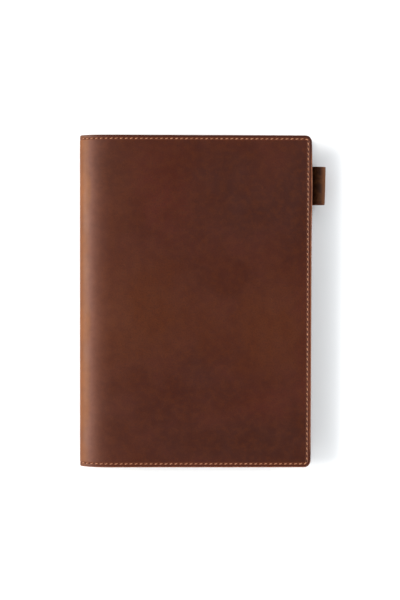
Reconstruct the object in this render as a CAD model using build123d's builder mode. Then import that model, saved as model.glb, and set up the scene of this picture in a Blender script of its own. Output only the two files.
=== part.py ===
from build123d import *
import os
from math import cos, degrees, hypot, pi, radians, sin

os.makedirs("parts", exist_ok=True)

# ---------------------------------------------------------------------------
# A5 leather notebook cover, closed around the notebook it carries.
# It lies on its back cover: +X to the fore-edge, +Y to the head, +Z up.
# The origin is the middle of the underside of the whole object's box.
# All lengths are in millimetres.
# ---------------------------------------------------------------------------

# ---- driving dimensions ----------------------------------------------------
cover_w = 155.0            # spine silhouette to fore-edge, closed
cover_h = 222.0            # head to tail
cover_t = 18.0             # closed thickness with the notebook inside
leather_t = 1.8            # outer leather
corner_r = 4.5             # fore-edge corners in plan
fold_r = 7.5               # outer radius of the two spine folds
edge_round = 0.45          # burnished rounding of the cut edges

stitch_inset = 2.35        # seam line from the cut edge
seam_r = 2.5               # seam line radius at the corners
groove_w = 1.2             # pressed stitching groove
groove_d = 0.5
stitch_l = 2.6
stitch_w = 0.6
stitch_t = 0.42
stitch_slant = 11.0        # each stitch leans to the seam line, degrees

sleeve_t = 0.95            # pocket leather
sleeve_rim = 3.8           # sewn rim, lying on the outer leather
sleeve_wall = 1.0
sleeve_open = 38.0         # pocket mouth, from the spine silhouette

board_t = 1.2              # notebook cover boards
board_x0 = 10.5            # board edge at the notebook's joint
board_x1 = 150.0
board_h = 210.0
paste_t = 0.2              # endpaper
paper_x0 = 3.9             # folded edge of the text block
paper_x1 = 146.5
paper_h = 204.0
signature_n = 8
signature_t = 0.86
signature_gap = 0.02
cloth_t = 0.3              # covering cloth of the notebook's joints

loop_w = 25.4              # pen loop, along Y
loop_t = 1.2
loop_r = 4.2               # inside radius
loop_tail_t = 1.4          # both tails of the strip, skived and laid together
loop_y0 = 65.2
loop_cx = cover_w + 5.0    # centre of the loop, from the spine silhouette
loop_cz = 7.0
loop_setback = 1.4         # pocket edge drawn back where the loop comes out

slot_w = 100.0             # card slots on the front pocket
slot_x0 = 43.0
slot_t = 0.6
slot_pitch = 16.0
slot_top = 8.0
slot_depth = 58.0          # depth of the lowest slot
slot_rise = 1.4            # how far a mouth stands off the pocket

# ---- derived positions -----------------------------------------------------
overall_w = loop_cx + loop_r + loop_t
x_spine = -overall_w / 2           # outer silhouette of the spine
x_fore = x_spine + cover_w
half_h = cover_h / 2
x_fold = x_spine + fold_r          # where the flat panels begin
z_lo = fold_r                      # centre height of the lower fold
z_hi = cover_t - fold_r            # centre height of the upper fold
fold_in = fold_r - leather_t

z_back_board = leather_t
z_back_paste = z_back_board + board_t
z_back_sleeve = z_back_paste + paste_t + 0.05
z_back_fly = z_back_sleeve + sleeve_t + 0.05
z_block = z_back_fly + paste_t
z_block_top = z_block + signature_n * signature_t + (signature_n - 1) * signature_gap

z_front_board = cover_t - leather_t - board_t
z_front_paste = z_front_board - paste_t
z_front_sleeve = z_front_paste - 0.05 - sleeve_t     # lower face of the pocket

seam_x = x_fore - stitch_inset
seam_y = half_h - stitch_inset


def panel_seam():
    """Centres and directions of the stitches round three edges of one panel."""
    out = []
    bend = seam_r * pi / 2
    n_side = 43
    first = x_fold + 1.51
    run = (seam_x - seam_r - first) + bend / 2
    for k in range(n_side):
        s = run * k / n_side
        if first + s <= seam_x - seam_r:
            out.append((first + s, seam_y, 0.0, stitch_l))
    for turn in (1,):
        a = radians(45)
        out.append((seam_x - seam_r + seam_r * sin(a), seam_y - seam_r + seam_r * cos(a), -45.0, 1.7))
    n_fore = 65
    span = 2 * (seam_y - seam_r) + bend
    for k in range(1, n_fore):
        s = span * k / n_fore - span / 2
        if abs(s) <= seam_y - seam_r:
            out.append((seam_x, -s, -90.0, stitch_l))
    out += [(x, -y, -a, l) for x, y, a, l in out if a in (0.0, -45.0)]
    return out


def panel_profile(x0):
    """Outline of one panel from x0 to the fore-edge, its two outer corners rounded."""
    with BuildSketch() as outline:
        with Locations(((x0 + x_fore) / 2, 0)):
            Rectangle(x_fore - x0, cover_h)
        fillet(outline.vertices().group_by(Axis.X)[-1], corner_r)
    return outline.sketch


def seam_groove():
    """Plan of the stitching groove: three sides, open at the spine."""
    with BuildSketch() as groove:
        for inset, r, mode in (
            (stitch_inset - groove_w / 2, seam_r + groove_w / 2, Mode.ADD),
            (stitch_inset + groove_w / 2, seam_r - groove_w / 2, Mode.SUBTRACT),
        ):
            with BuildSketch(mode=Mode.PRIVATE) as ring:
                x1 = x_fore - inset
                x0 = x_fold - 20
                with Locations(((x0 + x1) / 2, 0)):
                    Rectangle(x1 - x0, cover_h - 2 * inset)
                fillet(ring.vertices().group_by(Axis.X)[-1], r)
            add(ring.sketch, mode=mode)
    return groove.sketch


def fold_sector(z_centre, upper, r_out, r_in):
    """Section of one spine fold: a quarter ring from the flat panel to the spine."""
    start = 90 if upper else 180
    with BuildSketch(Plane.XZ) as sector:
        with BuildLine():
            outer = CenterArc((x_fold, z_centre), r_out, start, 90)
            inner = CenterArc((x_fold, z_centre), r_in, start, 90)
            Line(outer @ 0, inner @ 0)
            Line(outer @ 1, inner @ 1)
        make_face()
    return sector.sketch


# ---- outer leather: back panel ---------------------------------------------
with BuildPart() as back_panel:
    with BuildSketch(Plane.XY):
        add(panel_profile(x_fold))
    extrude(amount=leather_t)
    rim_edges = [
        e
        for e in back_panel.faces().sort_by(Axis.Z)[0].edges()
        if e.center().X > x_fold + 0.1
    ]
    fillet(rim_edges, edge_round)
    with BuildSketch(Plane.XY):
        add(seam_groove())
    extrude(amount=groove_d, mode=Mode.SUBTRACT)
back_panel.part.label = "back_panel"

# ---- outer leather: front panel --------------------------------------------
with BuildPart() as front_panel:
    with BuildSketch(Plane.XY.offset(cover_t - leather_t)):
        add(panel_profile(x_fold))
    extrude(amount=leather_t)
    rim_edges = [
        e
        for e in front_panel.faces().sort_by(Axis.Z)[-1].edges()
        if e.center().X > x_fold + 0.1
    ]
    fillet(rim_edges, edge_round)
    with BuildSketch(Plane.XY.offset(cover_t)):
        add(seam_groove())
    extrude(amount=-groove_d, mode=Mode.SUBTRACT)
front_panel.part.label = "front_panel"

# ---- outer leather: spine strip and its two folds ---------------------------
with BuildPart() as spine_panel:
    with BuildSketch(Plane.XZ):
        with Locations((x_spine + leather_t / 2, cover_t / 2)):
            Rectangle(leather_t, z_hi - z_lo)
    extrude(amount=half_h, both=True)
    with BuildSketch(Plane.YZ.offset(x_spine)):
        with Locations((seam_y, cover_t / 2), (-seam_y, cover_t / 2)):
            Rectangle(groove_w, z_hi - z_lo)
    extrude(amount=groove_d, mode=Mode.SUBTRACT)
spine_panel.part.label = "spine_panel"

with BuildPart() as lower_hinge_leather:
    with BuildSketch(Plane.XZ):
        add(fold_sector(z_lo, False, fold_r, fold_in))
    extrude(amount=half_h, both=True)
    for side in (1, -1):
        with BuildSketch(Plane.XZ.offset(-side * seam_y)):
            add(fold_sector(z_lo, False, fold_r + 0.2, fold_r - groove_d))
        extrude(amount=groove_w / 2, both=True, mode=Mode.SUBTRACT)
lower_hinge_leather.part.label = "lower_hinge_leather"

with BuildPart() as upper_hinge_leather:
    with BuildSketch(Plane.XZ):
        add(fold_sector(z_hi, True, fold_r, fold_in))
    extrude(amount=half_h, both=True)
    for side in (1, -1):
        with BuildSketch(Plane.XZ.offset(-side * seam_y)):
            add(fold_sector(z_hi, True, fold_r + 0.2, fold_r - groove_d))
        extrude(amount=groove_w / 2, both=True, mode=Mode.SUBTRACT)
upper_hinge_leather.part.label = "upper_hinge_leather"

# ---- stitching: one group of separate stitches per seam ---------------------
seam = panel_seam()

with BuildPart() as back_stitching:
    with BuildSketch(Plane.XY.offset(groove_d - stitch_t)):
        for x, y, a, length in seam:
            with Locations(Location((x, y, 0), (0, 0, a - stitch_slant))):
                SlotOverall(length, stitch_w)
    extrude(amount=stitch_t)
back_stitching.part.label = "back_stitching"

with BuildPart() as front_stitching:
    with BuildSketch(Plane.XY.offset(cover_t - groove_d)):
        for x, y, a, length in seam:
            with Locations(Location((x, y, 0), (0, 0, a + stitch_slant))):
                SlotOverall(length, stitch_w)
    extrude(amount=stitch_t)
front_stitching.part.label = "front_stitching"

fold_stitch_r = fold_r - groove_d
fold_stitch_s = (2.1, 5.7, 9.3)      # arc lengths from the spine strip


def fold_stitches(z_centre, upper):
    """Sections of the three stitches that follow one spine fold."""
    with BuildSketch(Plane.XZ) as group:
        r_mid = fold_stitch_r + stitch_t / 2
        for s in fold_stitch_s:
            a = degrees(s / r_mid)
            half = degrees(stitch_l / 2 / r_mid)
            centre_a = 180 - a if upper else 180 + a
            with BuildLine():
                outer = CenterArc((x_fold, z_centre), fold_stitch_r + stitch_t, centre_a - half, 2 * half)
                inner = CenterArc((x_fold, z_centre), fold_stitch_r, centre_a - half, 2 * half)
                Line(outer @ 0, inner @ 0)
                Line(outer @ 1, inner @ 1)
            make_face()
    return group.sketch


with BuildPart() as lower_hinge_stitching:
    for side in (1, -1):
        with BuildSketch(Plane.XZ.offset(-side * seam_y)):
            add(fold_stitches(z_lo, False))
        extrude(amount=stitch_w / 2, both=True)
lower_hinge_stitching.part.label = "lower_hinge_stitching"

with BuildPart() as upper_hinge_stitching:
    for side in (1, -1):
        with BuildSketch(Plane.XZ.offset(-side * seam_y)):
            add(fold_stitches(z_hi, True))
        extrude(amount=stitch_w / 2, both=True)
upper_hinge_stitching.part.label = "upper_hinge_stitching"

with BuildPart() as spine_stitching:
    with BuildSketch(Plane.YZ.offset(x_spine + groove_d)):
        with Locations((seam_y, cover_t / 2), (-seam_y, cover_t / 2)):
            SlotOverall(stitch_l, stitch_w, rotation=90)
    extrude(amount=-stitch_t)
spine_stitching.part.label = "spine_stitching"

# ---- pockets: one sleeve per cover, sewn round three edges ------------------
wall_in = sleeve_rim + sleeve_wall   # inset of the pocket's clear inside
loop_y1 = loop_y0 + loop_w
loop_mid = (loop_y0 + loop_y1) / 2
x_mouth = x_spine + sleeve_open


def sleeve_band(inset_out, inset_in):
    """Plan of a three-sided band of the sleeve between two insets."""
    with BuildSketch() as band:
        for inset, mode in ((inset_out, Mode.ADD), (inset_in, Mode.SUBTRACT)):
            with BuildSketch(mode=Mode.PRIVATE) as plan:
                x1 = x_fore - inset
                x0 = x_mouth if mode == Mode.ADD else x_mouth - 5
                with Locations(((x0 + x1) / 2, 0)):
                    Rectangle(x1 - x0, cover_h - 2 * inset)
                fillet(plan.vertices().group_by(Axis.X)[-1], max(corner_r - inset, 0.9))
            add(plan.sketch, mode=mode)
    return band.sketch


def sleeve_panel_plan(inset):
    """Plan of the sleeve's raised panel."""
    with BuildSketch() as plan:
        x1 = x_fore - inset
        with Locations(((x_mouth + x1) / 2, 0)):
            Rectangle(x1 - x_mouth, cover_h - 2 * inset)
        fillet(plan.vertices().group_by(Axis.X)[-1], 0.9)
    return plan.sketch


with BuildPart() as back_sleeve:
    with BuildSketch(Plane.XY.offset(leather_t)):
        add(sleeve_band(0.0, wall_in))
    extrude(amount=sleeve_t)
    with BuildSketch(Plane.XY.offset(leather_t)):
        add(sleeve_band(sleeve_rim, wall_in))
    extrude(amount=z_back_sleeve + sleeve_t - leather_t)
    with BuildSketch(Plane.XY.offset(z_back_sleeve)):
        add(sleeve_panel_plan(sleeve_rim))
    extrude(amount=sleeve_t)
    # the pocket leather rides over the pen loop's tails
    with BuildSketch(Plane.XY.offset(leather_t)):
        with Locations((x_fore - (wall_in + loop_setback) / 2, loop_mid)):
            Rectangle(wall_in - loop_setback, loop_w + 3.0)
    extrude(amount=z_back_sleeve + sleeve_t - leather_t)
    with BuildSketch(Plane.XY.offset(leather_t)):
        with Locations((x_fore - wall_in + 5.0, loop_mid)):
            Rectangle(10.0, loop_w + 0.4)
    extrude(amount=z_back_sleeve - leather_t, mode=Mode.SUBTRACT)
back_sleeve.part.label = "back_sleeve"

with BuildPart() as front_sleeve:
    with BuildSketch(Plane.XY.offset(cover_t - leather_t)):
        add(sleeve_band(0.0, wall_in))
    extrude(amount=-sleeve_t)
    with BuildSketch(Plane.XY.offset(cover_t - leather_t)):
        add(sleeve_band(sleeve_rim, wall_in))
    extrude(amount=-(cover_t - leather_t - z_front_sleeve))
    with BuildSketch(Plane.XY.offset(z_front_sleeve)):
        add(sleeve_panel_plan(sleeve_rim))
    extrude(amount=sleeve_t)
front_sleeve.part.label = "front_sleeve"

# ---- pen loop: a strip folded round and sewn into the back cover's edge -----
x_loop = x_spine + loop_cx
with BuildPart() as pen_loop:
    with BuildSketch(Plane.XZ.offset(-loop_mid)):
        with Locations((x_loop, loop_cz)):
            Circle(loop_r + loop_t)
        tail_x0 = x_fore - wall_in + 0.6
        with Locations(((tail_x0 + x_loop) / 2, leather_t + loop_tail_t / 2)):
            Rectangle(x_loop - tail_x0, loop_tail_t)
        with Locations((x_loop, loop_cz)):
            Circle(loop_r, mode=Mode.SUBTRACT)
    extrude(amount=loop_w / 2, both=True)
pen_loop.part.label = "pen_loop"

# ---- card slots on the front pocket, mouths to the head ---------------------
slot_face = z_front_sleeve
slot_mouth = slot_face - slot_rise
slot_x = x_spine + slot_x0


def card_slot_section(y_top, y_low):
    """Shingled strip: its mouth stands off the pocket, its foot lies on it."""
    return [
        (y_top, slot_mouth),
        (y_top, slot_mouth + slot_t),
        (y_low, slot_face - 0.06),
        (y_low, slot_face - 0.06 - slot_t),
    ]


with BuildPart() as card_slot_upper:
    with BuildSketch(Plane.YZ.offset(slot_x)):
        Polygon(*card_slot_section(slot_top, slot_top - slot_pitch - 2), align=None)
    extrude(amount=slot_w)
card_slot_upper.part.label = "card_slot_upper"

with BuildPart() as card_slot_middle:
    with BuildSketch(Plane.YZ.offset(slot_x)):
        Polygon(
            *card_slot_section(slot_top - slot_pitch, slot_top - 2 * slot_pitch - 2),
            align=None,
        )
    extrude(amount=slot_w)
card_slot_middle.part.label = "card_slot_middle"

slot_y2 = slot_top - 2 * slot_pitch
slot_foot = slot_y2 - slot_depth
with BuildPart() as card_slot_lower:
    with BuildSketch(Plane.YZ.offset(slot_x)):
        Polygon(
            (slot_y2, slot_mouth),
            (slot_y2, slot_mouth + slot_t),
            (slot_y2 - 18, slot_face - 0.02),
            (slot_foot, slot_face - 0.02),
            (slot_foot, slot_face - 0.02 - slot_t),
            (slot_y2 - 18, slot_face - 0.02 - slot_t),
            align=None,
        )
    extrude(amount=slot_w)
card_slot_lower.part.label = "card_slot_lower"

# seam across the foot and up both sides of the lowest slot
slot_seam_z = slot_face - 0.02 - slot_t
with BuildPart() as card_slot_stitching:
    with BuildSketch(Plane.XY.offset(slot_seam_z)):
        foot_n = 29
        foot_pitch = (slot_w - 5.0) / foot_n
        for k in range(foot_n + 1):
            with Locations((slot_x + 2.5 + foot_pitch * k, slot_foot + 2.0)):
                SlotOverall(2.4, 0.5)
        for x in (slot_x + 2.0, slot_x + slot_w - 2.0):
            for k in range(1, 11):
                with Locations((x, slot_foot + 2.0 + 3.35 * k)):
                    SlotOverall(2.4, 0.5, rotation=90)
    extrude(amount=-0.35)
card_slot_stitching.part.label = "card_slot_stitching"

# ---- notebook: boards, joints and spine of its case -------------------------
x_board0 = x_spine + board_x0
x_board1 = x_spine + board_x1


def board_plan():
    with BuildSketch() as plan:
        with Locations(((x_board0 + x_board1) / 2, 0)):
            Rectangle(x_board1 - x_board0, board_h)
        fillet(plan.vertices().group_by(Axis.X)[-1], 3.0)
    return plan.sketch


with BuildPart() as notebook_back_board:
    with BuildSketch(Plane.XY.offset(z_back_board)):
        add(board_plan())
    extrude(amount=board_t)
notebook_back_board.part.label = "notebook_back_board"

with BuildPart() as notebook_front_board:
    with BuildSketch(Plane.XY.offset(z_front_board)):
        add(board_plan())
    extrude(amount=board_t)
notebook_front_board.part.label = "notebook_front_board"

joint_r = fold_in - 0.06
with BuildPart() as lower_case_joint:
    with BuildSketch(Plane.XZ):
        add(fold_sector(z_lo, False, joint_r, joint_r - cloth_t))
        with Locations(((x_fold + x_board0) / 2, z_lo - joint_r + cloth_t / 2)):
            Rectangle(board_x0 - fold_r, cloth_t)
    extrude(amount=board_h / 2, both=True)
lower_case_joint.part.label = "lower_case_joint"

with BuildPart() as upper_case_joint:
    with BuildSketch(Plane.XZ):
        add(fold_sector(z_hi, True, joint_r, joint_r - cloth_t))
        with Locations(((x_fold + x_board0) / 2, z_hi + joint_r - cloth_t / 2)):
            Rectangle(board_x0 - fold_r, cloth_t)
    extrude(amount=board_h / 2, both=True)
upper_case_joint.part.label = "upper_case_joint"

# stiffener strip with its cloth, inside the spine leather
strip_x0 = x_fold - joint_r
with BuildPart() as notebook_spine_strip:
    with BuildSketch(Plane.XZ):
        with Locations((strip_x0 + cloth_t / 2, cover_t / 2)):
            Rectangle(cloth_t, z_hi - z_lo)
        with Locations((strip_x0 + cloth_t + 0.4, cover_t / 2)):
            Rectangle(0.8, z_hi - z_lo)
    extrude(amount=board_h / 2, both=True)
notebook_spine_strip.part.label = "notebook_spine_strip"

# ---- notebook: text block and endpapers -------------------------------------
x_paper0 = x_spine + paper_x0
x_paper1 = x_spine + paper_x1

with BuildPart() as signatures:
    for k in range(signature_n):
        z0 = z_block + k * (signature_t + signature_gap)
        with BuildSketch(Plane.XZ):
            with Locations(((x_paper0 + x_paper1) / 2, z0 + signature_t / 2)):
                Rectangle(x_paper1 - x_paper0, signature_t)
        extrude(amount=paper_h / 2, both=True)
    fold_edges = [e for e in signatures.edges().filter_by(Axis.Y) if e.center().X < x_paper0 + 0.1]
    fillet(fold_edges, 0.4)
signatures.part.label = "signatures"

with BuildPart() as back_endpaper:
    with BuildSketch(Plane.XZ):
        x0 = x_paper0 + 1.0
        x1 = x_spine + 148.5
        with Locations(((x0 + x1) / 2, z_back_paste + paste_t / 2)):
            Rectangle(x1 - x0, paste_t)
        with Locations(((x0 + x_paper1) / 2, z_back_fly + paste_t / 2)):
            Rectangle(x_paper1 - x0, paste_t)
        with Locations((x0 + paste_t / 2, (z_back_paste + z_back_fly + paste_t) / 2)):
            Rectangle(paste_t, z_back_fly + paste_t - z_back_paste)
    extrude(amount=paper_h / 2, both=True)
back_endpaper.part.label = "back_endpaper"

with BuildPart() as front_flyleaf:
    with BuildSketch(Plane.XY.offset(z_block_top + 0.02)):
        with Locations(((x_paper0 + 0.2 + x_paper1) / 2, 0)):
            Rectangle(x_paper1 - x_paper0 - 0.2, paper_h)
    extrude(amount=paste_t)
front_flyleaf.part.label = "front_flyleaf"

with BuildPart() as front_pastedown:
    with BuildSketch(Plane.XY.offset(z_front_paste)):
        with Locations(((x_board0 + x_spine + 148.5) / 2, 0)):
            Rectangle(148.5 - board_x0, paper_h)
    extrude(amount=paste_t)
front_pastedown.part.label = "front_pastedown"

with BuildPart() as spine_lining:
    with BuildSketch(Plane.XZ):
        with Locations((x_paper0 - 0.17, (z_block + z_block_top) / 2)):
            Rectangle(0.3, z_block_top - z_block - 0.3)
    extrude(amount=paper_h / 2 - 3, both=True)
spine_lining.part.label = "spine_lining"

band_z0 = z_block + 0.3
band_z1 = z_block_top - 0.3
with BuildPart() as head_band:
    with BuildSketch(Plane.XZ.offset(-(paper_h / 2 + 0.02))):
        with Locations((x_paper0 + 0.7, (band_z0 + band_z1) / 2)):
            SlotOverall(band_z1 - band_z0, 1.2, rotation=90)
    extrude(amount=-1.2)
head_band.part.label = "head_band"

with BuildPart() as tail_band:
    with BuildSketch(Plane.XZ.offset(paper_h / 2 + 0.02)):
        with Locations((x_paper0 + 0.7, (band_z0 + band_z1) / 2)):
            SlotOverall(band_z1 - band_z0, 1.2, rotation=90)
    extrude(amount=1.2)
tail_band.part.label = "tail_band"

# ---- write one STEP per piece ------------------------------------------------
for piece in (
    back_panel,
    front_panel,
    spine_panel,
    lower_hinge_leather,
    upper_hinge_leather,
    back_stitching,
    front_stitching,
    lower_hinge_stitching,
    upper_hinge_stitching,
    spine_stitching,
    back_sleeve,
    front_sleeve,
    pen_loop,
    card_slot_upper,
    card_slot_middle,
    card_slot_lower,
    card_slot_stitching,
    notebook_back_board,
    notebook_front_board,
    lower_case_joint,
    upper_case_joint,
    notebook_spine_strip,
    signatures,
    back_endpaper,
    front_flyleaf,
    front_pastedown,
    spine_lining,
    head_band,
    tail_band,
):
    export_step(piece.part, "parts/" + piece.part.label + ".step")
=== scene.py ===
import math

import bpy
import numpy as np
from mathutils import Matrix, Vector


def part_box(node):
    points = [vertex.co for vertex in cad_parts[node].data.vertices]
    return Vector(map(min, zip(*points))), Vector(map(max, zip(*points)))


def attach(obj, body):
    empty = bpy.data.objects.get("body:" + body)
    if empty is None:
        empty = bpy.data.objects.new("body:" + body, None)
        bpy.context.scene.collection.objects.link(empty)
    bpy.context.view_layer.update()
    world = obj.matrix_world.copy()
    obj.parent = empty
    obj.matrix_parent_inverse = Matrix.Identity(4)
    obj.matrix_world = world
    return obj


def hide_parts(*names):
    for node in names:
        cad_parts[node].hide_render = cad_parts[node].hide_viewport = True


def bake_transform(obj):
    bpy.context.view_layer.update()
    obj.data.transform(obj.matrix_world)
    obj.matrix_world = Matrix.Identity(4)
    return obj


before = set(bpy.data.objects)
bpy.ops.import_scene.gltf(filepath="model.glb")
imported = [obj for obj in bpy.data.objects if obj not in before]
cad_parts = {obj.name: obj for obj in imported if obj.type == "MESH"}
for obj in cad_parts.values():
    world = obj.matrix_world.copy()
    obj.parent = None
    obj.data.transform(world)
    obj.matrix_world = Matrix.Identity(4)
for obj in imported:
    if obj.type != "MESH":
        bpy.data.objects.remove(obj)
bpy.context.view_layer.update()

# ---------------------------------------------------------------------------
# Everything below is in millimetres in the row frame and goes to metres when a
# mesh is made. xl is the distance from the spine's outer silhouette.
# ---------------------------------------------------------------------------
MM = 0.001
X0 = round(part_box("spine_panel")[0].x * 1000, 2)
W = 155.0                 # spine silhouette to fore-edge
H = 222.0
TOP = 18.0
LEATHER = 1.8
CORNER = 4.5
INSET = 2.48              # seam line from the cut edge
PITCH = 3.35
ZONE = 9.0                # size of the plan zone that turns a corner
HALF = H / 2


def smooth(x, a, b):
    t = np.clip((np.asarray(x, float) - a) / (b - a), 0, 1)
    return t * t * (3 - 2 * t)


def waves(x, y, seed, scale):
    """Gentle, repeatable unevenness between about -1 and 1."""
    rng = np.random.RandomState(seed)
    total = np.zeros(np.broadcast(x, y).shape)
    for k in range(7):
        a = rng.uniform(0, 2 * math.pi)
        f = 2 * math.pi / (scale * rng.uniform(0.55, 1.8))
        total = total + np.sin(f * (np.cos(a) * x + np.sin(a) * y) + rng.uniform(0, 6.28))
    return total / 4.0


# ---- camera ----------------------------------------------------------------
cam_data = bpy.data.cameras.new("camera")
cam_data.sensor_width = 36.0
cam_data.lens = 77.5
cam_data.clip_start = 0.01
cam_data.clip_end = 50
cam = bpy.data.objects.new("camera", cam_data)
bpy.context.scene.collection.objects.link(cam)
cam.location = ((X0 + 64.36) * MM, 0.02469, 0.87895)
cam.rotation_euler = (math.radians(-1.568), math.radians(-1.077), math.radians(0.131))
bpy.context.scene.camera = cam


# ---- node helpers ----------------------------------------------------------
class Tree:
    """Small helper round one material's node tree."""

    def __init__(self, name):
        self.mat = bpy.data.materials.new(name)
        self.mat.use_nodes = True
        self.t = self.mat.node_tree
        self.t.nodes.clear()
        self.out = self.t.nodes.new("ShaderNodeOutputMaterial")
        self.bsdf = self.t.nodes.new("ShaderNodeBsdfPrincipled")
        self.t.links.new(self.bsdf.outputs[0], self.out.inputs[0])

    def put(self, socket, value):
        if isinstance(value, bpy.types.NodeSocket):
            self.t.links.new(value, socket)
        elif isinstance(value, (tuple, list)) and len(value) == 3 and socket.type == "RGBA":
            socket.default_value = (*value, 1)
        else:
            socket.default_value = value

    def attr(self, name, out="Vector"):
        n = self.t.nodes.new("ShaderNodeAttribute")
        n.attribute_name = name
        return n.outputs[out]

    def split(self, v):
        n = self.t.nodes.new("ShaderNodeSeparateXYZ")
        self.put(n.inputs[0], v)
        return n.outputs[0], n.outputs[1], n.outputs[2]

    def join(self, x, y, z):
        n = self.t.nodes.new("ShaderNodeCombineXYZ")
        for i, v in enumerate((x, y, z)):
            self.put(n.inputs[i], v)
        return n.outputs[0]

    def math(self, op, a, b=0.0, clamp=False):
        n = self.t.nodes.new("ShaderNodeMath")
        n.operation = op
        n.use_clamp = clamp
        self.put(n.inputs[0], a)
        self.put(n.inputs[1], b)
        return n.outputs[0]

    def vmath(self, op, a, b=(0.0, 0.0, 0.0)):
        n = self.t.nodes.new("ShaderNodeVectorMath")
        n.operation = op
        self.put(n.inputs[0], a)
        if op == "SCALE":
            self.put(n.inputs[3], b)
        else:
            self.put(n.inputs[1], b)
        return n.outputs["Value"] if op in ("LENGTH", "DISTANCE", "DOT_PRODUCT") else n.outputs[0]

    def noise(self, v, scale, detail=3.0, rough=0.55, out="Fac", distortion=0.0):
        n = self.t.nodes.new("ShaderNodeTexNoise")
        self.put(n.inputs["Vector"], v)
        n.inputs["Scale"].default_value = scale
        n.inputs["Detail"].default_value = detail
        n.inputs["Roughness"].default_value = rough
        n.inputs["Distortion"].default_value = distortion
        return n.outputs[out]

    def voronoi(self, v, scale, feature="F1", out="Distance"):
        n = self.t.nodes.new("ShaderNodeTexVoronoi")
        n.feature = feature
        self.put(n.inputs["Vector"], v)
        n.inputs["Scale"].default_value = scale
        return n.outputs[out]

    def span(self, value, a, b, c=0.0, d=1.0, kind="SMOOTHSTEP"):
        n = self.t.nodes.new("ShaderNodeMapRange")
        n.interpolation_type = kind
        self.put(n.inputs[0], value)
        for i, v in enumerate((a, b, c, d)):
            n.inputs[i + 1].default_value = v
        return n.outputs[0]

    def mix(self, fac, a, b, kind="MIX"):
        n = self.t.nodes.new("ShaderNodeMix")
        n.data_type = "RGBA"
        n.blend_type = kind
        n.clamp_factor = True
        self.put(n.inputs[0], fac)
        self.put(n.inputs[6], a)
        self.put(n.inputs[7], b)
        return n.outputs[2]

    def bump(self, height, strength, distance, normal=None):
        n = self.t.nodes.new("ShaderNodeBump")
        n.inputs["Strength"].default_value = strength
        n.inputs["Distance"].default_value = distance
        self.put(n.inputs["Height"], height)
        if normal is not None:
            self.put(n.inputs["Normal"], normal)
        return n.outputs[0]

    def finish(self, color, rough, normal=None, specular=0.5, sheen=0.0, sheen_tint=(1, 1, 1)):
        self.put(self.bsdf.inputs["Base Color"], color)
        self.put(self.bsdf.inputs["Roughness"], rough)
        self.bsdf.inputs["Specular IOR Level"].default_value = specular
        if sheen:
            self.bsdf.inputs["Sheen Weight"].default_value = sheen
            self.bsdf.inputs["Sheen Roughness"].default_value = 0.5
            self.bsdf.inputs["Sheen Tint"].default_value = (*sheen_tint, 1)
        if normal is not None:
            self.put(self.bsdf.inputs["Normal"], normal)
        return self.mat


def add_wave(t, value, period, sharp):
    """1 at every whole period of value, falling to 0 between: for holes and ridges."""
    c = t.math("COSINE", t.math("MULTIPLY", value, 2 * math.pi / period))
    return t.math("POWER", t.math("ADD", t.math("MULTIPLY", c, 0.5), 0.5), sharp)


# colours, linear
DARK = (0.0375, 0.0066, 0.0022)
BASE = (0.0455, 0.0083, 0.0026)
COOL = (0.0350, 0.0076, 0.0036)
RED = (0.0540, 0.0078, 0.0023)
OLIVE = (0.0625, 0.0138, 0.0031)
# painted highlight: the pink-grey sheen along the spine's roll
PAINTED_SHEEN = (0.164, 0.0535, 0.0275)
# pull-up tan of bent and scuffed hide; on the spine's roll it also carries painted light
TAN = (0.176, 0.0535, 0.0105)
EDGE = (0.112, 0.0260, 0.0075)
# painted highlight on the fore-edge's bevelled rim
FORE_RIM_HIGHLIGHT = (0.215, 0.074, 0.034)


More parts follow.
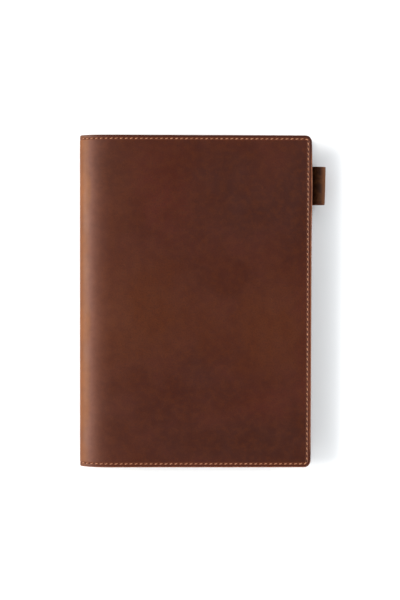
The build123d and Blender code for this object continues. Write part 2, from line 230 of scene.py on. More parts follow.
def cover_leather(name="cover_leather"):
    """Waxed pull-up leather: clouded brown, lighter where it bends and at the seam's crease; painted light and a
    painted highlight on the spine's roll, painted shade in the stitch holes, a painted highlight on the fore-edge's
    rim.
    """
    t = Tree(name)
    p = t.attr("flat")
    seam = t.attr("seam")
    d, s, wear_and_light = t.split(seam)
    warp = t.noise(p, 55, 2.0, 0.5, out="Color")
    pw = t.vmath("ADD", p, t.vmath("SCALE", t.vmath("SUBTRACT", warp, (0.5, 0.5, 0.5)), 0.022))
    cloud = t.noise(pw, 26, 4.0, 0.58)
    cloud2 = t.noise(t.vmath("ADD", pw, (0.31, 0.12, 0.4)), 44, 4.0, 0.6)
    fine = t.noise(p, 190, 4.0, 0.62)
    grain = t.noise(p, 900, 3.0, 0.6)
    color = t.mix(t.span(cloud, 0.32, 0.62), DARK, BASE)
    color = t.mix(t.math("MULTIPLY", t.span(cloud2, 0.46, 0.72), 0.55), color, RED)

    # broad patches where the wax has moved: (middle, radii, amount)
    def patches(spots):
        total = None
        for cx, cy, rx, ry, amount in spots:
            v = t.vmath("SUBTRACT", pw, ((X0 + cx) * MM, cy * MM, 0.0))
            v = t.vmath("MULTIPLY", v, (1 / (rx * MM), 1 / (ry * MM), 0.0))
            m = t.span(t.vmath("LENGTH", v), 1.25, 0.2, 0.0, amount)
            total = m if total is None else t.math("MAXIMUM", total, m)
        return total

    cool = patches(((108.0, 70.0, 46.0, 36.0, 0.85), (30.0, -75.0, 30.0, 26.0, 0.35), (146.0, 78.0, 18.0, 46.0, 0.9), (96.0, -96.0, 60.0, 20.0, 0.6), (80.0, -46.0, 14.0, 30.0, 0.4), (-6.0, 20.0, 10.0, 60.0, 0.5)))
    color = t.mix(t.math("MULTIPLY", cool, t.span(cloud, 0.70, 0.35, 0.4, 1.0)), color, COOL)
    olive = patches(((40.0, -8.0, 46.0, 44.0, 1.0), (128.0, -16.0, 30.0, 38.0, 0.9), (84.0, -12.0, 24.0, 30.0, 0.5), (28.0, 66.0, 16.0, 40.0, 0.35), (-40.0, -30.0, 40.0, 50.0, 0.5)))
    olive = t.math("MULTIPLY", olive, t.span(fine, 0.25, 0.70, 0.5, 1.0))
    color = t.mix(olive, color, OLIVE)
    red = patches(((55.0, 75.0, 24.0, 36.0, 0.85), (121.0, -71.0, 22.0, 15.0, 0.8), (152.0, -30.0, 7.0, 70.0, 0.5), (-70.0, 50.0, 40.0, 40.0, 0.5)))
    color = t.mix(t.math("MULTIPLY", red, t.span(cloud2, 0.35, 0.6, 0.45, 1.0)), color, RED)
    shade = patches(((134.0, -94.0, 46.0, 26.0, 0.60), (148.0, 66.0, 20.0, 44.0, 0.50), (10.0, 92.0, 24.0, 26.0, 0.50)))
    color = t.mix(shade, color, (0.0285, 0.0054, 0.0020))
    # fine mottle and short pale scuffs
    color = t.mix(t.span(fine, 0.38, 0.70, 0.0, 0.50), color, OLIVE)
    color = t.mix(t.span(grain, 0.42, 0.72, 0.0, 0.42), color, (0.024, 0.0050, 0.0024))
    streak = t.noise(t.vmath("MULTIPLY", pw, (1.0, 0.16, 1.0)), 420, 2.0, 0.5)
    streak_on = t.math("MULTIPLY", t.span(streak, 0.69, 0.80), t.span(cloud2, 0.45, 0.62))
    color = t.mix(t.math("MULTIPLY", streak_on, 0.14), color, TAN)
    # lighter where it bends round the spine: partly pull-up wear, partly painted light on the roll that faces the
    # light, with a painted highlight band along it
    worn_and_lit = t.math("MULTIPLY", wear_and_light, t.span(fine, 0.2, 0.75, 0.76, 1.0))
    color = t.mix(worn_and_lit, color, t.mix(t.span(wear_and_light, 0.90, 0.62), TAN, PAINTED_SHEEN))
    # seam: pressed crease, painted shade in the holes between the stitches, burnished cut edge
    off = t.math("ABSOLUTE", t.math("SUBTRACT", d, INSET))
    crease = t.span(off, 1.15, 0.45, 0.0, 0.78)
    color = t.mix(crease, color, EDGE)
    hole = t.math("MULTIPLY", add_wave(t, s, PITCH, 5.0), t.span(off, 0.55, 0.25, 0.0, 0.80))
    color = t.mix(hole, color, (0.016, 0.0040, 0.0014))
    # outside the seam the hide is darker at head and tail, and paler on the fore-edge's rim: a painted highlight of the
    # bevelled edge
    lip = t.span(d, 1.9, 1.2)
    fore = t.span(s, 106.0, 94.0)
    tail = t.span(t.split(p)[1], -0.104, -0.1085)
    color = t.mix(t.math("MULTIPLY", lip, t.span(fore, 0.0, 1.0, 0.45, 0.0)), color, (0.030, 0.0066, 0.0030))
    rim = t.span(d, 1.15, 0.55)
    fore_rim_highlight = t.math("MULTIPLY", t.math("MULTIPLY", rim, fore), t.span(fine, 0.3, 0.65, 0.55, 0.95))
    color = t.mix(fore_rim_highlight, color, FORE_RIM_HIGHLIGHT)
    color = t.mix(t.math("MULTIPLY", t.math("MULTIPLY", t.span(d, 0.80, 0.35), tail), t.span(fine, 0.3, 0.65, 0.6, 0.95)), color, (0.25, 0.075, 0.030))
    edge = t.math("MULTIPLY", t.span(d, 0.45, 0.12, 0.0, 0.9), t.span(t.math("MAXIMUM", fore, tail), 0.0, 1.0, 1.0, 0.3))
    color = t.mix(t.math("MULTIPLY", edge, t.span(fine, 0.2, 0.7, 0.6, 1.0)), color, EDGE)
    rough = t.math("ADD", t.span(cloud2, 0.3, 0.7, 0.42, 0.50), t.span(grain, 0.3, 0.7, -0.03, 0.05))
    rough = t.math("ADD", rough, t.math("MULTIPLY", wear_and_light, 0.03))
    pores = t.voronoi(t.vmath("ADD", p, t.vmath("SCALE", warp, 0.0006)), 1250)
    h = t.math("ADD", t.math("MULTIPLY", t.span(pores, 0.0, 0.5), 0.35), t.math("MULTIPLY", grain, 0.65))
    normal = t.bump(h, 0.22, 0.00012)
    normal = t.bump(fine, 0.25, 0.00035, normal)
    return t.finish(color, rough, normal, specular=0.20)


def plain_leather(name, base, dark, light, rough=0.5, specular=0.35, edge=None):
    """Pocket and loop leather: the same hide without the big clouds."""
    t = Tree(name)
    p = t.attr("flat")
    d, s, wear_and_light = t.split(t.attr("seam"))
    cloud = t.noise(p, 40, 4.0, 0.6)
    fine = t.noise(p, 240, 4.0, 0.62)
    grain = t.noise(p, 1000, 3.0, 0.6)
    color = t.mix(t.span(cloud, 0.36, 0.66), dark, base)
    color = t.mix(t.span(fine, 0.40, 0.75, 0.0, 0.45), color, light)
    color = t.mix(t.span(grain, 0.45, 0.8, 0.0, 0.25), color, dark)
    # paler at the pocket mouths where worn, and painted light on the pen loop's outer side
    color = t.mix(wear_and_light, color, light)
    off = t.math("ABSOLUTE", t.math("SUBTRACT", d, INSET))
    color = t.mix(t.span(off, 0.9, 0.3, 0.0, 0.5), color, EDGE)
    # painted shade in the stitch holes
    hole = t.math("MULTIPLY", add_wave(t, s, PITCH, 5.0), t.span(off, 0.5, 0.22, 0.0, 0.9))
    color = t.mix(hole, color, (0.014, 0.005, 0.003))
    color = t.mix(t.span(d, 0.42, 0.10, 0.0, 0.9), color, edge or EDGE)
    r = t.math("ADD", t.span(cloud, 0.3, 0.7, rough - 0.05, rough + 0.05), t.span(grain, 0.3, 0.7, -0.03, 0.05))
    pores = t.voronoi(p, 1100)
    h = t.math("ADD", t.math("MULTIPLY", t.span(pores, 0.0, 0.5), 0.4), t.math("MULTIPLY", grain, 0.6))
    normal = t.bump(h, 0.3, 0.00014)
    return t.finish(color, r, normal, specular=specular)


def flesh_leather(name="flesh_leather"):
    """Inner, suede side of the cover hide."""
    t = Tree(name)
    p = t.attr("flat")
    cloud = t.noise(p, 60, 4.0, 0.6)
    nap = t.noise(t.vmath("MULTIPLY", p, (1.0, 0.45, 1.0)), 1300, 4.0, 0.7)
    color = t.mix(t.span(cloud, 0.32, 0.7), (0.072, 0.027, 0.0135), (0.112, 0.046, 0.023))
    color = t.mix(t.span(nap, 0.35, 0.75, 0.0, 0.55), color, (0.165, 0.080, 0.044))
    normal = t.bump(nap, 0.5, 0.00018)
    return t.finish(color, 0.9, normal, specular=0.15, sheen=0.25, sheen_tint=(0.8, 0.5, 0.35))


def thread_material(name="seam_thread"):
    t = Tree(name)
    p = t.attr("flat")
    ply = t.attr("ply", "Fac")
    n = t.noise(p, 1800, 3.0, 0.6)
    slow = t.noise(p, 150, 2.0, 0.5)
    color = t.mix(t.span(n, 0.3, 0.75), (0.27, 0.098, 0.040), (0.58, 0.275, 0.148))
    color = t.mix(t.span(slow, 0.35, 0.7, 0.0, 0.4), color, (0.62, 0.335, 0.195))
    # painted shade in the grooves between the two plies
    color = t.mix(t.span(ply, 0.5, 0.0, 0.0, 0.75), color, (0.105, 0.034, 0.014))
    normal = t.bump(n, 0.4, 0.00008)
    return t.finish(color, 0.6, normal, specular=0.2, sheen=0.1, sheen_tint=(1.0, 0.8, 0.6))


def paper_edge(name, base, shade, lines=5200.0):
    """Cut edges of many leaves: fine lines along the thickness."""
    t = Tree(name)
    p = t.attr("flat")
    x, y, z = t.split(p)
    layered = t.join(t.math("MULTIPLY", x, 0.06), t.math("MULTIPLY", y, 0.06), z)
    fine = t.noise(layered, lines, 3.0, 0.75)
    broad = t.noise(layered, lines / 7, 2.0, 0.5)
    spot = t.noise(p, 70, 3.0, 0.5)
    color = t.mix(t.span(fine, 0.32, 0.68), shade, base)
    color = t.mix(t.span(broad, 0.55, 0.35, 0.0, 0.35), color, shade)
    color = t.mix(t.span(spot, 0.45, 0.8, 0.0, 0.16), color, (base[0] * 0.8, base[1] * 0.72, base[2] * 0.58))
    normal = t.bump(fine, 0.35, 0.00012)
    return t.finish(color, 0.85, normal, specular=0.2)


def paper_sheet(name, base):
    t = Tree(name)
    p = t.attr("flat")
    fibre = t.noise(t.vmath("MULTIPLY", p, (1.0, 0.35, 1.0)), 900, 4.0, 0.7)
    cloud = t.noise(p, 45, 3.0, 0.5)
    color = t.mix(t.span(fibre, 0.3, 0.8, 0.0, 0.35), base, (base[0] * 0.84, base[1] * 0.80, base[2] * 0.72))
    color = t.mix(t.span(cloud, 0.4, 0.8, 0.0, 0.18), color, (base[0] * 0.9, base[1] * 0.85, base[2] * 0.74))
    normal = t.bump(fibre, 0.2, 0.00006)
    return t.finish(color, 0.8, normal, specular=0.25)


def book_cloth(name, base, light, scale=1500.0):
    """Woven book cloth: warp and weft ridges with uneven threads."""
    t = Tree(name)
    p = t.attr("flat")
    x, y, z = t.split(p)
    jitter = t.noise(p, 300, 3.0, 0.6)
    across = t.math("SINE", t.math("MULTIPLY", t.math("ADD", t.math("ADD", x, z), t.math("MULTIPLY", jitter, 0.0007)), scale * 6.2832 / 1.6))
    along = t.math("SINE", t.math("MULTIPLY", t.math("ADD", y, t.math("MULTIPLY", jitter, 0.0007)), scale * 6.2832 / 1.6))
    weave = t.math("ADD", t.math("MULTIPLY", t.math("MULTIPLY", across, along), 0.5), 0.5)
    cloud = t.noise(p, 80, 3.0, 0.6)
    color = t.mix(t.span(weave, 0.15, 0.9), base, light)
    color = t.mix(t.span(cloud, 0.4, 0.75, 0.0, 0.3), color, light)
    normal = t.bump(weave, 0.35, 0.0001)
    return t.finish(color, 0.78, normal, specular=0.3, sheen=0.15, sheen_tint=(0.8, 0.8, 0.85))


def band_material(name="head_band_silk"):
    """Woven band: two colours of thread wound in turn."""
    t = Tree(name)
    p = t.attr("flat")
    x, y, z = t.split(p)
    turn = t.math("ADD", t.math("MULTIPLY", t.math("SINE", t.math("MULTIPLY", t.math("ADD", z, t.math("MULTIPLY", y, 0.3)), 7800.0)), 0.5), 0.5)
    color = t.mix(t.span(turn, 0.3, 0.7), (0.11, 0.030, 0.014), (0.52, 0.45, 0.32))
    n = t.noise(p, 2500, 3.0, 0.6)
    normal = t.bump(t.math("ADD", turn, t.math("MULTIPLY", n, 0.3)), 0.5, 0.0001)
    return t.finish(color, 0.6, normal, specular=0.35)


M_COVER = cover_leather()
M_FLESH = flesh_leather()
M_POCKET = plain_leather("pocket_leather", (0.058, 0.0160, 0.0066), (0.038, 0.0098, 0.0044), (0.098, 0.033, 0.0135))
M_LOOP = plain_leather("loop_leather", (0.026, 0.0070, 0.0016), (0.016, 0.0042, 0.0011), (0.135, 0.043, 0.0095), specular=0.10)
M_THREAD = thread_material()
M_PAGES = paper_edge("page_paper", (0.62, 0.58, 0.49), (0.43, 0.39, 0.31))
M_ENDPAPER = paper_sheet("endpaper", (0.46, 0.43, 0.36))
M_BOARD = book_cloth("case_board_cloth", (0.013, 0.0125, 0.0125), (0.036, 0.034, 0.033))
M_CLOTH = book_cloth("case_joint_cloth", (0.012, 0.0115, 0.0115), (0.033, 0.031, 0.030))
M_LINING = book_cloth("spine_lining_cloth", (0.30, 0.27, 0.21), (0.50, 0.46, 0.38), 900.0)
M_BAND = band_material()


# ---- mesh helpers ----------------------------------------------------------
def make_object(name, verts, faces, mats, flat=None, seam=None, mat_index=None, extra=None, sharp=40):
    verts = np.asarray(verts, float)
    me = bpy.data.meshes.new(name)
    me.from_pydata((verts * MM).tolist(), [], faces)
    me.update()
    for m in mats:
        me.materials.append(m)
    if mat_index is not None:
        me.polygons.foreach_set("material_index", np.asarray(mat_index, np.int32))
    me.polygons.foreach_set("use_smooth", np.ones(len(me.polygons), bool))
    flat = verts if flat is None else np.asarray(flat, float)
    a = me.attributes.new("flat", "FLOAT_VECTOR", "POINT")
    a.data.foreach_set("vector", (flat * MM).astype(np.float32).ravel())
    if seam is None:
        seam = np.tile((50.0, 0.0, 0.0), (len(verts), 1))
    a = me.attributes.new("seam", "FLOAT_VECTOR", "POINT")
    a.data.foreach_set("vector", np.asarray(seam, np.float32).ravel())
    for key, values in (extra or {}).items():
        a = me.attributes.new(key, "FLOAT", "POINT")
        a.data.foreach_set("value", np.asarray(values, np.float32).ravel())
    me.validate()
    if sharp:
        me.set_sharp_from_angle(angle=math.radians(sharp))
    ob = bpy.data.objects.new(name, me)
    bpy.context.scene.collection.objects.link(ob)
    return ob


def closed_sheet(outer, inner, iu, iv):
    """Faces of a closed sheet: a fine outer grid, an inner grid on the lines iu, iv of the outer one, and the walls."""
    nu, nv = outer.shape[:2]
    mu, mv = len(iu), len(iv)
    o = np.arange(nu * nv).reshape(nu, nv)
    i = nu * nv + np.arange(mu * mv).reshape(mu, mv)
    faces = np.stack([o[:-1, :-1], o[1:, :-1], o[1:, 1:], o[:-1, 1:]], -1).reshape(-1, 4).tolist()
    n_out = len(faces)
    faces += np.stack([i[:-1, :-1], i[:-1, 1:], i[1:, 1:], i[1:, :-1]], -1).reshape(-1, 4).tolist()
    n_in = len(faces) - n_out

    def wall(line_o, line_i, picks, flip):
        for k in range(len(line_i) - 1):
            ring = [int(line_i[k]), int(line_i[k + 1])] + [int(line_o[j]) for j in range(picks[k + 1], picks[k] - 1, -1)]
            faces.append(ring[::-1] if flip else ring)

    wall(o[:, 0], i[:, 0], iu, False)
    wall(o[:, -1], i[:, -1], iu, True)
    wall(o[0, :], i[0, :], iv, True)
    wall(o[-1, :], i[-1, :], iv, False)
    return faces, n_out, n_in


def recalc(ob):
    import bmesh

    bm = bmesh.new()
    bm.from_mesh(ob.data)
    bmesh.ops.recalc_face_normals(bm, faces=bm.faces)
    bm.to_mesh(ob.data)
    bm.free()


# ---- section of the cover --------------------------------------------------
class Section:
    """Outer line of half the cover, from the fore-edge (a = 0) to the middle of the spine (a = length)."""

    def __init__(self, upper):
        self.upper = upper
        if upper:
            t = np.linspace(1, 0, 500)[:, None]
            P = [np.array(q, float) for q in ((0, 9), (0, 14.7), (10.5, TOP), (22, TOP))]
            curve = (1 - t) ** 3 * P[0] + 3 * (1 - t) ** 2 * t * P[1] + 3 * (1 - t) * t * t * P[2] + t**3 * P[3]
        else:
            ang = np.linspace(0, math.pi / 2, 120)
            arc = np.stack([7.5 - 7.5 * np.sin(ang), 7.5 - 7.5 * np.cos(ang)], 1)
            curve = np.vstack([[[27, 0]], arc, [[0, 9]]])
            # soften where the flat panel turns into the roll
            fine = np.linspace(0, 1, 600)
            seg = np.r_[0, np.cumsum(np.hypot(*np.diff(curve, axis=0).T))]
            curve = np.stack([np.interp(fine * seg[-1], seg, curve[:, k]) for k in range(2)], 1)
        start = np.array([[W, TOP if upper else 0.0]])
        flat = np.linspace(start[0], curve[0], 40)[:-1]
        line = np.vstack([flat, curve])
        seg = np.r_[0, np.cumsum(np.hypot(*np.diff(line, axis=0).T))]
        self.a, self.x, self.z = seg, line[:, 0], line[:, 1]
        self.length = seg[-1]
        tx, tz = np.gradient(self.x, seg), np.gradient(self.z, seg)
        n = np.hypot(tx, tz)
        tx, tz = tx / n, tz / n
        # inward normal: towards the pages
        nx, nz = (-tz, tx) if upper else (tz, -tx)
        if upper:
            nx, nz = np.where(nz > 0, -nx, nx), np.where(nz > 0, -nz, nz)
        else:
            nx, nz = np.where(nz < 0, -nx, nx), np.where(nz < 0, -nz, nz)
        nx[-1], nz[-1] = 1.0, 0.0
        self.nx, self.nz, self.tx, self.tz = nx, nz, tx, tz

    def at(self, a, depth=0.0):
        x = np.interp(a, self.a, self.x) + np.interp(a, self.a, self.nx) * depth
        z = np.interp(a, self.a, self.z) + np.interp(a, self.a, self.nz) * depth
        return x, z


UP, LOW = Section(True), Section(False)


def turn_corner(dx, dy, radius):
    """Insets (dx, dy) of a square-cornered grid, moved so that its outer corner is round. Also the seam's path coordinate."""
    dx, dy = np.broadcast_arrays(np.asarray(dx, float), np.asarray(dy, float))
    ox, oy = dx.copy(), dy.copy()
    d = np.minimum(dx, dy)
    r_seam = radius - INSET
    ell = math.pi / 4 * r_seam + (ZONE - INSET - r_seam)
    inside = (dx < ZONE) & (dy < ZONE)
    lz = np.maximum(ZONE - d, 1e-9)
    t = np.abs(dx - dy)
    r = np.maximum(radius - d, 0.0)
    q = t / lz * (math.pi / 4 * r + lz - r)
    on_arc = q < math.pi / 4 * r
    ang = math.pi / 4 - q / np.maximum(r, 1e-9)
    near = np.where(on_arc, d + r - r * np.cos(ang), d)
    far = np.where(on_arc, d + r - r * np.sin(ang), d + r + q - math.pi / 4 * r)
    fore = dx < dy
    ox = np.where(inside, np.where(fore, near, far), ox)
    oy = np.where(inside, np.where(fore, far, near), oy)
    base = HALF - ZONE
    s = np.where(fore, np.where(inside, base + (1 - t / lz) * ell, HALF - dy), np.where(inside, base + ell + t / lz * ell, base + 2 * ell + dx - ZONE))
    return ox, oy, d, s


R_SEAM = CORNER - INSET
ELL = math.pi / 4 * R_SEAM + (ZONE - INSET - R_SEAM)


def seam_path(s):
    """Insets (dx, dy) of the seam line at path coordinate s >= 0, from the middle of the fore-edge."""
    base = HALF - ZONE
    if s <= base:
        return INSET, HALF - s
    if s >= base + 2 * ELL:
        return ZONE + s - base - 2 * ELL, INSET
    q = s - base
    straight = ZONE - INSET - R_SEAM
    if q < straight:
        return INSET, ZONE - q
    if q > straight + math.pi / 2 * R_SEAM:
        return INSET + R_SEAM + q - straight - math.pi / 2 * R_SEAM, INSET
    ang = (q - straight) / R_SEAM
    return INSET + R_SEAM * (1 - math.cos(ang)), INSET + R_SEAM * (1 - math.sin(ang))


def seam_count(section):
    total = HALF - ZONE + 2 * ELL + section.length - ZONE
    n = round(total / PITCH)
    return n, total / n


# rows from the cut edge inwards: (inset, how far the edge's rounding lowers the face)
EDGE_ROWS = [(0.0, 0.62), (0.035, 0.42), (0.12, 0.24), (0.26, 0.10), (0.45, 0.02), (0.75, 0.0)]
SEAM_ROWS = [1.15, 1.5, 1.75, 1.95, 2.15, 2.35, 2.55, 2.75, 2.95, 3.2, 3.55, 4.1, 5.0, 6.4]


def lip_bow(dx, y, upper):
    """The upper hide's lip at the fore-edge isn't cut dead straight: it stands out a little over the pen loop."""
    if not upper:
        return 0.0 * dx
    return (0.10 + 0.42 * np.exp(-(((y - 76.0) / 20.0) ** 2))) * smooth(dx, 2.3, 0.3) * smooth(np.abs(y), HALF - 2.0, HALF - 9.0)


def cover_half(name, section):
    """One half of the outer leather, from the fore-edge round to the middle of the spine, as one closed sheet."""
    upper = section.upper
    n_st, pitch = seam_count(section)
    rows = [r[0] for r in EDGE_ROWS] + SEAM_ROWS
    base = HALF - ZONE
    step = pitch / 4
    # lines across the seam's run, on the stitch holes and between them
    a_first = ZONE - base - 2 * ELL
    k0 = math.ceil((base + 2 * ELL) / step)
    a_lines = [k * step + a_first for k in range(k0, int(n_st * 4) + 1)]
    a_lines = rows + [7.7] + [a for a in a_lines if 8.4 < a < section.length - 0.2] + [section.length]
    y_lines = []
    k = 0
    while k * step < HALF - 8.6:
        y_lines.append(k * step)
        k += 1
    pos = y_lines + [HALF - 7.7] + [HALF - r for r in rows[::-1]]
    y_lines = [-y for y in pos[:0:-1]] + pos
    A, Y = np.array(a_lines), np.array(y_lines)
    gx, gy = np.meshgrid(A, Y, indexing="ij")
    side = np.where(gy >= 0, 1.0, -1.0)
    dx, dy, d, s = turn_corner(gx, HALF - np.abs(gy), CORNER)
    y = side * (HALF - dy)
    depth = np.interp(d, [r[0] for r in EDGE_ROWS] + [3.0], [r[1] for r in EDGE_ROWS] + [0.0])
    # the seam sinks into the hide and puckers it between the stitches
    groove = np.exp(-(((d - INSET) / 0.46) ** 2))
    hole = (0.5 + 0.5 * np.cos(2 * math.pi * s / pitch)) ** 2
    depth = depth + groove * (0.30 + 0.26 * hole)
    depth = depth + 0.05 * hole * smooth(d, 0.5, 1.3) * smooth(d, 4.6, 2.6)
    depth = depth + 0.10 * smooth(d, 2.2, 0.6)
    # the hide is not dead flat
    px, pz = section.at(dx)
    calm = smooth(d, 0.3, 9.0) * smooth(section.length - dx, 0.0, 9.0)
    if upper:
        lift = 0.13 * waves(px, y, 3, 60) + 0.05 * waves(px, y, 8, 19)
        depth = depth + 0.10 * calm - lift * calm * 0.6
    else:
        depth = depth + 0.04 * calm * (1 + waves(px, y, 5, 45)) * 0.5
    ox, oz = section.at(dx, depth)
    ox = ox + lip_bow(dx, y, upper)
    outer = np.stack([X0 + ox, y, oz], -1)
    # inner face: coarse, on a few of the same lines
    iu = [0, 2, 4, 6, 10, 14, 17] + list(range(20, len(A) - 1, 4)) + [len(A) - 1]
    nv = len(Y)
    iv = sorted(set([0, 2, 4, 6, 10, 14, 17] + list(range(20, nv - 20, 4)) + [nv - 1 - q for q in (0, 2, 4, 6, 10, 14, 17)]))
    idx, idy, idd, ids = (q[np.ix_(iu, iv)] for q in (dx, y, d, s))
    ipx, ipz = section.at(idx)
    thick = np.full(idx.shape, LEATHER)
    if upper:
        room = np.maximum(ipz - 16.2, 0.9)
        thick = np.minimum(thick, room + 2.0 * smooth(ipx, 12.6, 9.5))
    thick = thick - np.interp(idd, [0, 0.12, 0.45], [0.22, 0.08, 0.0])
    ix, iz = section.at(idx, thick)
    ix = ix + lip_bow(idx, idy, upper)
    inner = np.stack([X0 + ix, idy, iz], -1)
    faces, n_out, n_in = closed_sheet(outer, inner, iu, iv)
    verts = np.vstack([outer.reshape(-1, 3), inner.reshape(-1, 3)])
    # developed coordinates: the hide laid flat, the spine's middle shared by both halves
    flat_x = X0 + (W - dx) if upper else X0 + (W - UP.length) - (LOW.length - dx)
    flat_o = np.stack([flat_x, y, np.zeros_like(y)], -1).reshape(-1, 3)
    iflat_x = X0 + (W - idx) if upper else X0 + (W - UP.length) - (LOW.length - idx)
    flat_i = np.stack([iflat_x, idy, np.full_like(idy, 3.0)], -1).reshape(-1, 3)
    # pale where the hide bends at the spine, and on the front broadly towards it: partly pull-up wear, partly painted
    # light and a painted highlight on the lit roll
    if upper:
        wear_and_light = 0.86 / (1 + (px / 9.4) ** 3.6) + 0.16 * np.exp(-((px / 27.0) ** 2))
    else:
        wear_and_light = np.exp(-((px / 4.6) ** 2))
    wear_and_light = wear_and_light * (0.90 + 0.12 * waves(px * 0 + 1, y, 12, 40))
    sp = s * PITCH / pitch
    seam_o = np.stack([d, sp, wear_and_light], -1).reshape(-1, 3)
    seam_i = np.stack([np.where(idd < 0.3, idd, 50.0), ids * PITCH / pitch, 0 * ids], -1).reshape(-1, 3)
    index = [0] * n_out + [1] * n_in + [0] * (len(faces) - n_out - n_in)
    ob = make_object(name, verts, faces, [M_COVER, M_FLESH], np.vstack([flat_o, flat_i]), np.vstack([seam_o, seam_i]), index, sharp=0)
    recalc(ob)
    ob.data.set_sharp_from_angle(angle=math.radians(55))
    return ob


# ---- thread ----------------------------------------------------------------
def stitch_mesh(paths, radius=0.33):
    """Two-ply stitches. Each path is (centres, side directions, up directions) from hole to hole."""
    verts, faces, ply, flat = [], [], [], []
    n_ring, turns = 8, 1.6
    for centres, rights, ups in paths:
        n = len(centres)
        base = len(verts)
        for i, (c, r, u) in enumerate(zip(centres, rights, ups)):
            f = i / (n - 1)
            taper = 0.55 + 0.45 * math.sin(math.pi * min(max(f, 0.04), 0.96)) ** 0.5
            for k in range(n_ring):
                a = 2 * math.pi * k / n_ring
                lobe = abs(math.cos(a - math.pi * turns * f))
                rr = radius * taper * (0.70 + 0.30 * lobe)
                verts.append(c + rr * (math.cos(a) * r + 0.82 * math.sin(a) * u))
                ply.append(lobe)
        for i in range(n - 1):
            for k in range(n_ring):
                k2 = (k + 1) % n_ring
                faces.append([base + i * n_ring + k, base + i * n_ring + k2, base + (i + 1) * n_ring + k2, base + (i + 1) * n_ring + k])
        faces.append([base + k for k in range(n_ring)][::-1])
        faces.append([base + (n - 1) * n_ring + k for k in range(n_ring)])
    return np.array(verts), faces, ply


def seam_stitches(section, slant, outer=True, height=None):
    """Paths of the stitches of one half's seam, on its outer or inner face."""
    n_st, pitch = seam_count(section)
    paths = []
    rng = np.random.RandomState(21 if section.upper else 22)
    # under the cover the thread is pressed into the hide, so that it doesn't stand through the floor
    sink = -0.62 if section.upper else -0.82
    for sgn in (1.0, -1.0):
        for k in range(n_st):
            s0, s1 = k * pitch + 0.64, (k + 1) * pitch - 0.64
            pts, rights, ups = [], [], []
            tilt = math.tan(math.radians(slant + rng.uniform(-2.0, 2.0)))
            for f in np.linspace(0, 1, 9):
                s = s0 + (s1 - s0) * f
                dx, dy = seam_path(s)
                e = 0.02
                dx2, dy2 = seam_path(s + e)
                x, z = section.at(dx)
                nx = float(np.interp(dx, section.a, section.nx))
                nz = float(np.interp(dx, section.a, section.nz))
                x2, z2 = section.at(dx2)
                p = np.array([X0 + float(x), sgn * (HALF - dy), float(z)])
                q = np.array([X0 + float(x2), sgn * (HALF - dy2), float(z2)])
                tan = (q - p) / max(np.linalg.norm(q - p), 1e-9)
                up = -np.array([nx, 0.0, nz])
                right = np.cross(tan, up)
                right /= np.linalg.norm(right)
                off = (f - 0.5) * (s1 - s0) * tilt
                arch = math.sin(math.pi * f) ** 0.6
                if outer:
                    c = p + right * off + up * (sink + 0.60 * arch)
                else:
                    c = p + right * off - up * (height(dx, dy, sgn) - 0.36 + 0.38 * arch)
                    up = -up
                pts.append(c)
                rights.append(right)
                ups.append(up)
            paths.append((pts, rights, ups))
    return paths


def thread_object(name, paths, radius=0.245):
    verts, faces, ply = stitch_mesh(paths, radius)
    return make_object(name, verts, faces, [M_THREAD], None, None, None, {"ply": ply}, sharp=0)


front_leather = cover_half("front_leather", UP)
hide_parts("front_panel", "upper_hinge_leather")
back_leather = cover_half("back_leather", LOW)
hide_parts("back_panel", "lower_hinge_leather", "spine_panel")


# ---- pockets ---------------------------------------------------------------
POCKET_T = 0.95
RIM, WALL_END = 3.7, 5.3
STEP = 1.45                # how far the pocket's panel stands over its sewn rim
MOUTH = 38.0
LOOP_Y0, LOOP_Y1 = 65.2, 90.6


def loop_bump(y):
    return smooth(y, LOOP_Y0 - 3.2, LOOP_Y0 - 0.8) * smooth(y, LOOP_Y1 + 3.2, LOOP_Y1 + 0.8)


def pocket_height(dx, dy, y, back):
    """Height of the pocket's visible face over the outer leather's inner face."""
    d = np.minimum(dx, dy)
    up = smooth(d, RIM, WALL_END)
    if back:
        up = np.maximum(up, loop_bump(y) * smooth(dx, 8.0, 6.0))
    return POCKET_T + STEP * up


